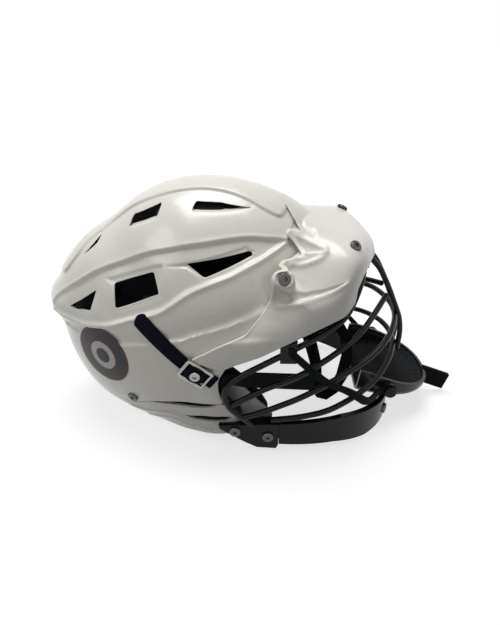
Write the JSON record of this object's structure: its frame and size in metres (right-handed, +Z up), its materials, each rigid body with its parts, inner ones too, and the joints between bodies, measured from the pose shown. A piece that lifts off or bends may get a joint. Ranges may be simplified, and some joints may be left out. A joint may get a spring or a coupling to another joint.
{
  "type": "lacrosse helmet",
  "caption": "Hard-shell lacrosse helmet with a vented crown, wide visor, barred wire face mask, chin guard, padded liner, side straps with tilting buckles and a hanging chin cup.",
  "frame": {"origin": "centre of the overall box in X and Y, at the plane the helmet rests on", "axes": "+X the wearer's forward, out through the face mask; +Y the wearer's left; +Z up"},
  "size_m": [0.396, 0.2166, 0.2324],
  "materials": {
    "shell": "moulded white, satin gloss",
    "guard": "moulded off-white, satin",
    "visor": "moulded white, gloss",
    "wire": "black coated wire, satin",
    "clip": "black moulded",
    "chin_guard": "moulded black, gloss",
    "bracket": "moulded black, gloss",
    "steel": "zinc-plated, dull",
    "pad": "black foam with a fabric face",
    "jaw_plate": "white moulded",
    "fit_plate": "black moulded",
    "webbing": "woven dark navy webbing",
    "buckle": "plated wire frame",
    "band": "grey webbing",
    "cup": "dark grey moulded",
    "cup_liner": "dark grey foam rubber",
    "cup_tab": "dark grey moulded",
    "pin_plastic": "black moulded",
    "roundel": "printed film disc"
  },
  "bodies": {
    "helmet": {"shell": "shell", "lower_guard": "guard", "visor": "visor", "mask_edge_wire": "wire", "mask_middle_wire": "wire", "mask_lower_wire": "wire", "mask_upper_wires": "wire", "mask_upright_wires": "wire", "mask_front_clip": "clip", "mask_side_clips": "clip", "chin_guard": "chin_guard", "chin_guard_brackets": "bracket", "temple_screws": "steel", "guard_screws": "steel", "front_visor_screws": "steel", "chin_guard_studs": "steel", "bracket_screws": "steel", "screw_nuts": "steel", "front_pad": "pad", "crown_pad": "pad", "back_pad": "pad", "side_pad_left": "pad", "side_pad_right": "pad", "jaw_plate_left": "jaw_plate", "jaw_plate_right": "jaw_plate", "jaw_pad_left": "pad", "jaw_pad_right": "pad", "fit_plate_hinge_blocks": "fit_plate", "fit_plate_hinge_pin": "steel", "side_strap_left": "webbing", "side_strap_right": "webbing", "strap_rivets": "steel", "strap_band_left": "band", "strap_band_right": "band", "chin_cup_pins": "pin_plastic", "chin_strap_left": "webbing", "chin_strap_right": "webbing", "inner_strap_left": "webbing", "inner_strap_right": "webbing", "roundel_left": "roundel", "roundel_right": "roundel"},
    "buckle_right": {"buckle_right": "buckle"},
    "buckle_left": {"buckle_left": "buckle"},
    "fit_plate": {"fit_plate": "fit_plate", "fit_plate_pad": "pad"},
    "chin_cup": {"chin_cup": "cup", "chin_cup_liner": "cup_liner", "chin_cup_tab": "cup_tab"}
  },
  "joints": [
    {"name": "buckle_right_tilt", "type": "hinge", "parent": "helmet", "child": "buckle_right", "pos_m": [-0.04799, -0.10344, 0.08881], "axis": [0.6018, 0, 0.7986], "range_deg": [0, 20]},
    {"name": "buckle_left_tilt", "type": "hinge", "parent": "helmet", "child": "buckle_left", "pos_m": [-0.04799, 0.10344, 0.08881], "axis": [-0.6018, 0, -0.7986], "range_deg": [0, 20]},
    {"name": "fit_plate_tilt", "type": "hinge", "parent": "helmet", "child": "fit_plate", "pos_m": [-0.17861, 0, 0.0759], "axis": [0, -1, 0], "range_deg": [0, 6]},
    {"name": "chin_cup_tilt", "type": "hinge", "parent": "helmet", "child": "chin_cup", "pos_m": [0.12326, 0, 0.0391], "axis": [0, -1, 0], "range_deg": [-2, 6]}
  ]
}
